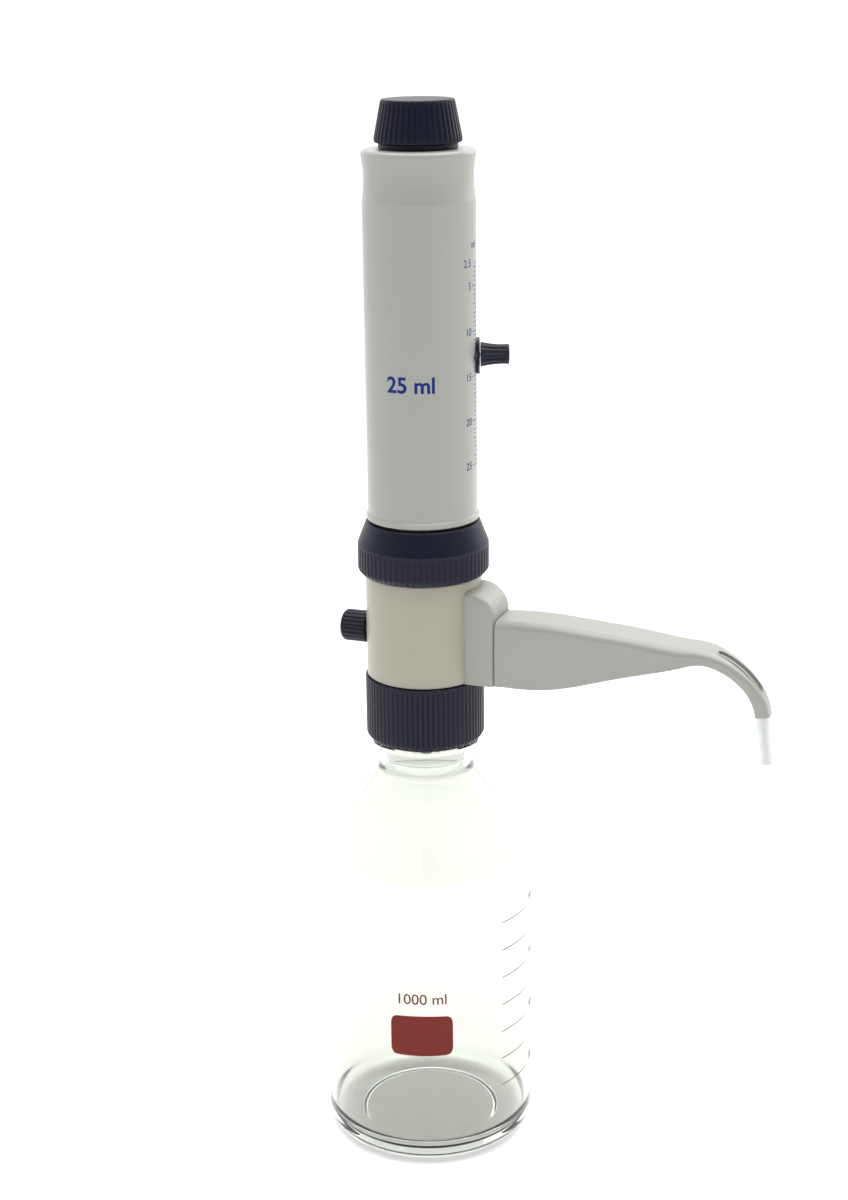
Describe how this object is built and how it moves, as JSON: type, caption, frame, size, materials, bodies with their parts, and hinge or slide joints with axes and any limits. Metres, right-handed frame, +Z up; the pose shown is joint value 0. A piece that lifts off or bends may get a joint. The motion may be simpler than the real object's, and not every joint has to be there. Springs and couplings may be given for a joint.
{
  "type": "bottle_top_dispenser",
  "caption": "Bottle-top dispenser with a swivelling discharge arm and a sliding volume pointer, on a clear glass reagent bottle",
  "frame": {"origin": "centre of the bottle's base on the surface that it stands on", "axes": "+Z up along the bottle's axis, +X along the volume knob, the arm 20.5 degrees from +X towards -Y"},
  "size_m": [0.2062, 0.1119, 0.4977],
  "materials": {
    "clear_glass": "clear borosilicate glass",
    "navy_plastic": "moulded dark navy plastic, fine satin",
    "white_plastic": "glossy off-white plastic",
    "housing_plastic": "satin light grey plastic",
    "block_plastic": "satin beige plastic",
    "ptfe": "waxy white fluoropolymer",
    "tube_plastic": "translucent tube",
    "nozzle_plastic": "translucent fluoropolymer",
    "rubber": "black elastomer",
    "steel": "turned stainless steel",
    "ceramic": "ground ceramic ball"
  },
  "bodies": {
    "bottle": {"reagent_bottle": "clear_glass"},
    "neck_seat": {"neck_gasket": "ptfe", "swivel_bush": "ptfe"},
    "collar": {"threaded_collar": "navy_plastic"},
    "turret": {"valve_block": "block_plastic", "swivel_seal": "rubber", "retaining_ring": "ptfe", "inlet_valve_body": "ptfe", "inlet_ball_stop": "ptfe", "outlet_valve_body": "ptfe", "outlet_plug": "ptfe", "return_tube": "tube_plastic", "arm_root_cover": "housing_plastic", "arm_housing": "housing_plastic", "arm_bottom_cover": "housing_plastic", "discharge_tube": "tube_plastic", "tube_nut": "ptfe", "discharge_nozzle": "nozzle_plastic", "cylinder_gasket": "rubber", "glass_cylinder": "clear_glass", "cylinder_centering_ring": "ptfe", "guide_sleeve": "white_plastic", "upper_slide_ring": "ptfe"},
    "clamp_ring": {"clamp_nut": "navy_plastic"},
    "inlet_check": {"inlet_ball": "ceramic"},
    "outlet_check": {"outlet_ball": "ceramic"},
    "purge": {"purge_knob": "navy_plastic", "purge_spindle": "ptfe", "purge_seal": "rubber"},
    "piston": {"grip_sleeve": "white_plastic", "lower_slide_ring": "ptfe", "toothed_rack": "steel", "piston_rod": "steel", "calibration_nut": "ptfe", "piston_head": "ptfe", "piston_seal_lower": "rubber", "piston_seal_upper": "rubber"},
    "cap": {"top_knob": "navy_plastic"},
    "pointer": {"pointer_slider": "navy_plastic", "rack_latch": "steel"},
    "volume": {"volume_knob": "navy_plastic", "clamp_screw": "steel"}
  },
  "joints": [
    {"name": "dispenser_lift", "type": "slide", "parent": "bottle", "child": "neck_seat", "axis": [0, 0, 1], "range_m": [0, 0.08]},
    {"name": "collar_turn", "type": "hinge", "parent": "neck_seat", "child": "collar", "pos_m": [0, 0, 0.22], "axis": [0, 0, 1], "range_deg": [0, 720]},
    {"name": "turret_swivel", "type": "hinge", "parent": "neck_seat", "child": "turret", "pos_m": [0, 0, 0.23], "axis": [0, 0, 1], "continuous": true},
    {"name": "clamp_nut_turn", "type": "hinge", "parent": "turret", "child": "clamp_ring", "pos_m": [0, 0, 0.295], "axis": [0, 0, 1], "range_deg": [0, 540]},
    {"name": "inlet_ball_lift", "type": "slide", "parent": "turret", "child": "inlet_check", "axis": [0, 0, 1], "range_m": [0, 0.0015]},
    {"name": "outlet_ball_lift", "type": "slide", "parent": "turret", "child": "outlet_check", "axis": [0, 0, 1], "range_m": [0, 0.0015]},
    {"name": "purge_turn", "type": "hinge", "parent": "turret", "child": "purge", "pos_m": [0, 0, 0.2539], "axis": [-0.9367, 0.3502, 0], "range_deg": [0, 90]},
    {"name": "piston_stroke", "type": "slide", "parent": "turret", "child": "piston", "axis": [0, 0, 1], "range_m": [0, 0.10125]},
    {"name": "cap_knob_turn", "type": "hinge", "parent": "piston", "child": "cap", "pos_m": [0, 0, 0.485], "axis": [0, 0, 1], "range_deg": [0, 360]},
    {"name": "pointer_slide", "type": "slide", "parent": "piston", "child": "pointer", "axis": [0, 0, 1], "range_m": [-0.0486, 0.0425]},
    {"name": "volume_knob_turn", "type": "hinge", "parent": "pointer", "child": "volume", "pos_m": [0, 0, 0.3851], "axis": [1, 0, 0], "range_deg": [0, 270]}
  ]
}
